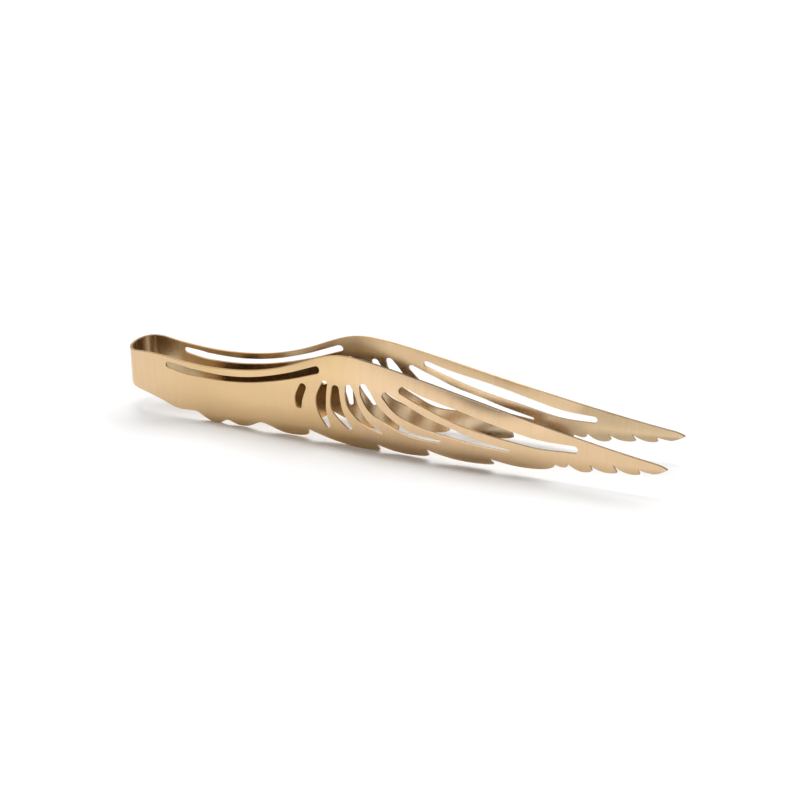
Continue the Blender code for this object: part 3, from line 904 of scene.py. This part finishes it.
BRUSHING, HAIRLINES = brushing_group(), hairline_group()
print("groups:", BRUSHING.name, "and", HAIRLINES.name)

# %% [markdown]
# ## Tone of the coating
# A gold coating is never quite one colour: it is deeper in soft clouds and streaks, at random. Over that, the
# colour is deepened as painted shade on the low feathers, for the shaded floor and gap that they mirror, and
# along the top of the wing, and at the inner jaws it is deepened to take back the inside's painted light. One
# group adds these up to a single value from 0 to 1, and also tells where on the strip a point lies. Each zone
# begins or ends between two distances from the middle of the bow, in metres, or between two height shares,
# because the tone of a coated sheet changes softly.

# %% Coating tone group
CLOUD = (0.022, 0.014)
LOW_SHADE_SPAN = (0.0, 0.45)
LOWER_HALF = (0.35, 0.65)
TOP_SHADE_SPAN = (0.93, 0.98)
PAST_BOW = (0.016, 0.040)
GRIP_BEGINS = (0.012, 0.040)
WING_BEGINS = (0.030, 0.090)
AT_CREST = (0.103, 0.117)
FEATHER_SHADE_BEGINS = (0.140, 0.165)
FEATHER_SHADE_ENDS = (0.182, 0.197)
JAWS_BEGIN = (0.180, 0.205)


def tone_group():
    """Deep is the sum, held from 0 to 1, of each part times its amount. The others are 1 in their zone."""
    amounts = {"Clouds": 0.2, "Streaks": 0.1, "Low": 0.0, "Jaws": 0.0, "Top": 0.0}
    zones = ["Bow", "Handle", "Grip", "Wing", "Smoke"]
    given_values = {"Share": 0.5, "Streak": 0.5, **amounts}
    tree, given, out = new_group("Coating tone and painted shade", given_values, ["Deep"] + zones)
    noise = stretched_noise(tree, given["Strip"], CLOUD, detail=2.0, roughness=0.45)
    run, share = along_strip(tree, given["Strip"]), given["Share"]
    wing, handle = spread(tree, run, WING_BEGINS), spread(tree, run, AT_CREST, FALLS)
    parts = {
        "Clouds": spread(tree, noise, SOFT_LEVELS),
        "Streaks": given["Streak"],
        # Painted shade: the low feathers of the wing darker, for the shaded floor and gap that they mirror.
        "Low": times(tree, spread(tree, share, LOW_SHADE_SPAN, FALLS), wing),
        # Deepens the inner jaws, taking back there the painted light of the inside's lifted colour.
        "Jaws": spread(tree, run, JAWS_BEGIN),
        # Painted shade: brown along the top edge of the wing past the crest, used on the cut edges.
        "Top": times(tree, spread(tree, share, TOP_SHADE_SPAN), spread(tree, run, AT_CREST)),
    }
    deep = 0.0
    for title, part in parts.items():
        deep = math_node(tree, "ADD", times(tree, part, given[title]), deep, clamp=True)
    # Zone of the grey-brown painted shade: the lower half of the inner feathers just before the jaws.
    feather_shade_zone = times(tree, spread(tree, run, FEATHER_SHADE_BEGINS), spread(tree, run, FEATHER_SHADE_ENDS, FALLS))
    feed(tree, out["Deep"], deep)
    feed(tree, out["Bow"], spread(tree, run, PAST_BOW, FALLS))
    feed(tree, out["Handle"], handle)
    feed(tree, out["Grip"], times(tree, spread(tree, run, GRIP_BEGINS), handle))
    feed(tree, out["Wing"], wing)
    feed(tree, out["Smoke"], times(tree, feather_shade_zone, spread(tree, share, LOWER_HALF, FALLS)))
    return tree


TONE = tone_group()
print("group:", TONE.name, "with", len(TONE.nodes), "nodes")

# %% [markdown]
# ## The three finishes
# The outside is brushed and the inside smoother. The cut edges are duller, and their deeper colour is painted
# shade that holds down their reflections; along the top of the wing they are browner still, also painted
# shade, and they are darker brown on the broken corners. Three tints follow: a browner painted shade inside
# the handle, a tint that makes the handle's outside yellower and is a paler painted highlight on its cut
# edges, and a grey-brown painted shade on the low inner feathers near the jaws. The finishes differ only in
# amounts, so one function builds them all. Light and deep are the two ends of the colour; the inside's light
# end is lifted as painted light, for the light that the shaded gap between the arms does not give it. Clouds
# and streaks deepen the colour at random, low and top deepen it as painted shade, and jaws deepens the inner
# jaws, taking back that painted light there. Depth, streak and hairlines belong to the brushing, and the dull
# ones add roughness to the bow, the handle or the wing.

# %% Finishes
Finish = namedtuple(
    "Finish",
    "name light deep roughness clouds streaks depth streak"
    " hairlines low top jaws shaded gripped smoked dull_bow dull_handle dull_wing",
    defaults=[0.0] * 10,
)
FINISHES = (
    # Outside: low deepens the low feathers as painted shade, and the handle tint makes the handle's outside
    # yellower.
    Finish(
        "gold_brushed", light=(0.74, 0.534, 0.33), deep=(0.55, 0.37, 0.20), roughness=0.30,
        clouds=0.12, streaks=0.10, depth=0.25, streak=0.05, hairlines=0.2, low=0.85, gripped=0.6,
    ),
    # Inside: the light colour is lifted as painted light, for the light that the shaded gap between the arms
    # does not give it, and jaws takes that back at the jaws. Low and the handle and feather tints are painted
    # shade.
    Finish(
        "gold_inside", light=(0.90, 0.675, 0.42), deep=(0.47, 0.355, 0.22), roughness=0.15,
        clouds=0.10, streaks=0.06, depth=0.15, streak=0.04, hairlines=0.1, low=1.0, jaws=0.42,
        shaded=0.92, smoked=0.65, dull_bow=0.12, dull_wing=0.02,
    ),
    # Cut edges: the deeper colour is painted shade that holds down their reflections, top is painted shade
    # along the wing, and the handle tint is a paler painted highlight on the handle's cut edges.
    Finish(
        "gold_cut", light=(0.50, 0.355, 0.205), deep=(0.24, 0.16, 0.09), roughness=0.36,
        clouds=0.15, streaks=0.10, depth=0.1, streak=0.03, top=0.9, gripped=0.9, dull_handle=0.3,
    ),
)
# Darker brown on the broken corners, less on the handle.
CORNER_BROWN = (0.38, 0.25, 0.14)
# Painted shade: browner inside the handle, between the arms.
HANDLE_INSIDE_SHADE = (0.50, 0.372, 0.226)
# Yellower on the handle's outside, and a paler painted highlight on the handle's cut edges.
HANDLE_YELLOW_AND_HIGHLIGHT = (0.685, 0.475, 0.235)
# Painted shade, grey-brown, on the low inner feathers near the jaws.
FEATHER_SHADE = (0.47, 0.375, 0.27)
CORNER_BROWN_ON_HANDLE = 0.3
HAIRLINE_DULLS = 0.12
BUMP_STRENGTH = 0.25
BUMP_DISTANCE = 0.00002


def gold_colour(tree, finish, tone, corner):
    """Light to deep by the tone, then each tint over it in its own zone, and darker brown on the corners."""
    colour = mixed(tree, tone["Deep"], finish.light, finish.deep)
    # Painted shade inside the handle, a yellower handle outside that is a paler painted highlight on the cut
    # edges, and painted shade on the low inner feathers.
    tints = (
        ("Handle", finish.shaded, HANDLE_INSIDE_SHADE),
        ("Grip", finish.gripped, HANDLE_YELLOW_AND_HIGHLIGHT),
        ("Smoke", finish.smoked, FEATHER_SHADE),
    )
    for zone, amount, tint in tints:
        colour = mixed(tree, times(tree, tone[zone], amount), colour, tint)
    corner_brown = times(tree, corner, spread(tree, tone["Handle"], RISES, (1.0, CORNER_BROWN_ON_HANDLE)))
    return mixed(tree, corner_brown, colour, CORNER_BROWN)


def gold_roughness(tree, finish, tone, streak, line):
    """The finish's own roughness with streaks about it, plus the hairlines and the dull zones."""
    parts = (
        (streak, finish.streak),
        (line, HAIRLINE_DULLS),
        (tone["Bow"], finish.dull_bow),
        (tone["Handle"], finish.dull_handle),
        (tone["Wing"], finish.dull_wing),
    )
    roughness = finish.roughness - finish.streak / 2
    for part, amount in parts:
        roughness = math_node(tree, "ADD", times(tree, part, amount), roughness)
    return roughness


def gold(finish):
    """Material of one finish on the strip."""
    material = bpy.data.materials.new(finish.name)
    material.use_nodes = True
    tree = material.node_tree
    strip = add(tree, "UVMap", {"uv_map": UV_NAME}).outputs["UV"]
    share = add(tree, "Attribute", {"attribute_name": SHARE_NAME}).outputs["Fac"]
    corner = add(tree, "Attribute", {"attribute_name": CORNER_NAME}).outputs["Fac"]
    brushing = add(tree, "Group", {"node_tree": BRUSHING}, Strip=strip, Depth=finish.depth).outputs
    line = add(tree, "Group", {"node_tree": HAIRLINES}, Strip=strip, Amount=finish.hairlines).outputs["Line"]
    tone = add(
        tree, "Group", {"node_tree": TONE}, Strip=strip, Share=share, Streak=brushing["Streak"],
        Clouds=finish.clouds, Streaks=finish.streaks, Low=finish.low, Jaws=finish.jaws, Top=finish.top,
    ).outputs
    bump = add(tree, "Bump", Height=brushing["Height"], Strength=BUMP_STRENGTH, Distance=BUMP_DISTANCE)
    surface = tree.nodes["Principled BSDF"].inputs
    feed(tree, surface["Base Color"], gold_colour(tree, finish, tone, corner))
    feed(tree, surface["Roughness"], gold_roughness(tree, finish, tone, brushing["Streak"], line))
    feed(tree, surface["Normal"], bump.outputs[0])
    surface["Metallic"].default_value = 1.0
    return material


golds = [gold(finish) for finish in FINISHES]
for piece in (bow, left_arm, right_arm):
    for material in golds:
        piece.data.materials.append(material)
print("finishes:", [material.name for material in golds])

# %% [markdown]
# ## Floor and lamps
# Metal shows what is around it, so the room matters as much as the lamps. The white floor is very wide, so
# that its edge stays out of all but the lowest views. A wide soft lamp overhead lights everything, a narrow
# one beside it reaches down between the arms, and a soft one from behind brightens what leans back. Two
# softboxes, in front and behind, give the upright faces something bright to show. The room itself is dim.

# %% Stage
FLOOR_SIZE = 60.0
PAPER_WHITE = (0.95, 0.95, 0.95)
ROOM_STRENGTH = 0.02
LAMPS_AIM_AT = (0.0, 0.0, 0.02)


def matt(name, colour):
    """Material of one colour, with no gloss at all."""
    material = bpy.data.materials.new(name)
    material.use_nodes = True
    surface = material.node_tree.nodes["Principled BSDF"].inputs
    surface["Base Color"].default_value = (*colour, 1.0)
    surface["Roughness"].default_value = 1.0
    surface["Specular IOR Level"].default_value = 0.0
    return material


half = FLOOR_SIZE / 2
floor_corners = [(-half, -half, 0), (half, -half, 0), (half, half, 0), (-half, half, 0)]
floor_mesh = bpy.data.meshes.new("floor")
floor_mesh.from_pydata(floor_corners, [], [(0, 1, 2, 3)])
floor_mesh.materials.append(matt("paper_white", PAPER_WHITE))
floor = bpy.data.objects.new("floor", floor_mesh)
bpy.context.scene.collection.objects.link(floor)

world = bpy.data.worlds.new("dim_room")
world.use_nodes = True
room = world.node_tree.nodes["Background"].inputs
room["Color"].default_value = (1.0, 1.0, 1.0, 1.0)
room["Strength"].default_value = ROOM_STRENGTH
bpy.context.scene.world = world


def lamp(name, kind, at, **settings):
    """Lamp at a place, with its -Z turned towards the tongs."""
    data = bpy.data.lights.new(name, kind)
    for title, value in settings.items():
        setattr(data, title, value)
    away = np.array(at) - np.array(LAMPS_AIM_AT)
    away = away / np.linalg.norm(away)
    right = np.cross((0.0, 0.0, 1.0), away)
    right = right / np.linalg.norm(right)
    turn = Matrix(np.column_stack([right, np.cross(away, right), away]).tolist())
    obj = bpy.data.objects.new(name, data)
    bpy.context.scene.collection.objects.link(obj)
    obj.matrix_world = Matrix.LocRotScale(at, turn.to_quaternion(), None)


SOFTBOX = {"shape": "RECTANGLE", "size": 1.6, "size_y": 0.7}
lamp("top_light", "SUN", (0.0, 0.0, 1.0), energy=0.9, angle=math.radians(100))
lamp("zenith_light", "SUN", (0.0, 0.0, 1.0), energy=0.8, angle=math.radians(16))
lamp("back_light", "SUN", (0.0, 0.42, 0.91), energy=1.7, angle=math.radians(60))
lamp("front_softbox", "AREA", (-0.38, -1.14, 0.35), energy=4.4, **SOFTBOX)
lamp("rear_softbox", "AREA", (0.30, 1.14, 0.35), energy=1.3, **SOFTBOX)
print("lamps:", [light.name for light in bpy.data.lights])

# %% [markdown]
# ## Camera
# The camera is the one that the photograph was taken with, as far as its picture tells: place and direction
# were found by matching the outlines of both arms, and the lens from how fast the far arm gets smaller.

# %% Camera
CAMERA_AT = (0.22808, -0.60645, 0.29936)
CAMERA_RIGHT = (0.93912, 0.34358, -0.00308)
CAMERA_UP = (-0.13504, 0.37733, 0.91618)
CAMERA_BACK = (0.31592, -0.86000, 0.40075)
PICTURE_PIXELS = 810
FOCAL_PIXELS = 1750
SENSOR_WIDTH = 36.0
NEAREST_SEEN = 0.01
data = bpy.data.cameras.new("camera")
data.sensor_width = SENSOR_WIDTH
data.lens = SENSOR_WIDTH * FOCAL_PIXELS / PICTURE_PIXELS
data.clip_start = NEAREST_SEEN
camera = bpy.data.objects.new("camera", data)
turn = Matrix((CAMERA_RIGHT, CAMERA_UP, CAMERA_BACK)).transposed()
camera.matrix_world = Matrix.LocRotScale(CAMERA_AT, turn.to_quaternion(), None)
bpy.context.scene.collection.objects.link(camera)
bpy.context.scene.camera = camera
bpy.context.scene.view_settings.view_transform = "Standard"
print(f"lens: {data.lens:.1f} mm")
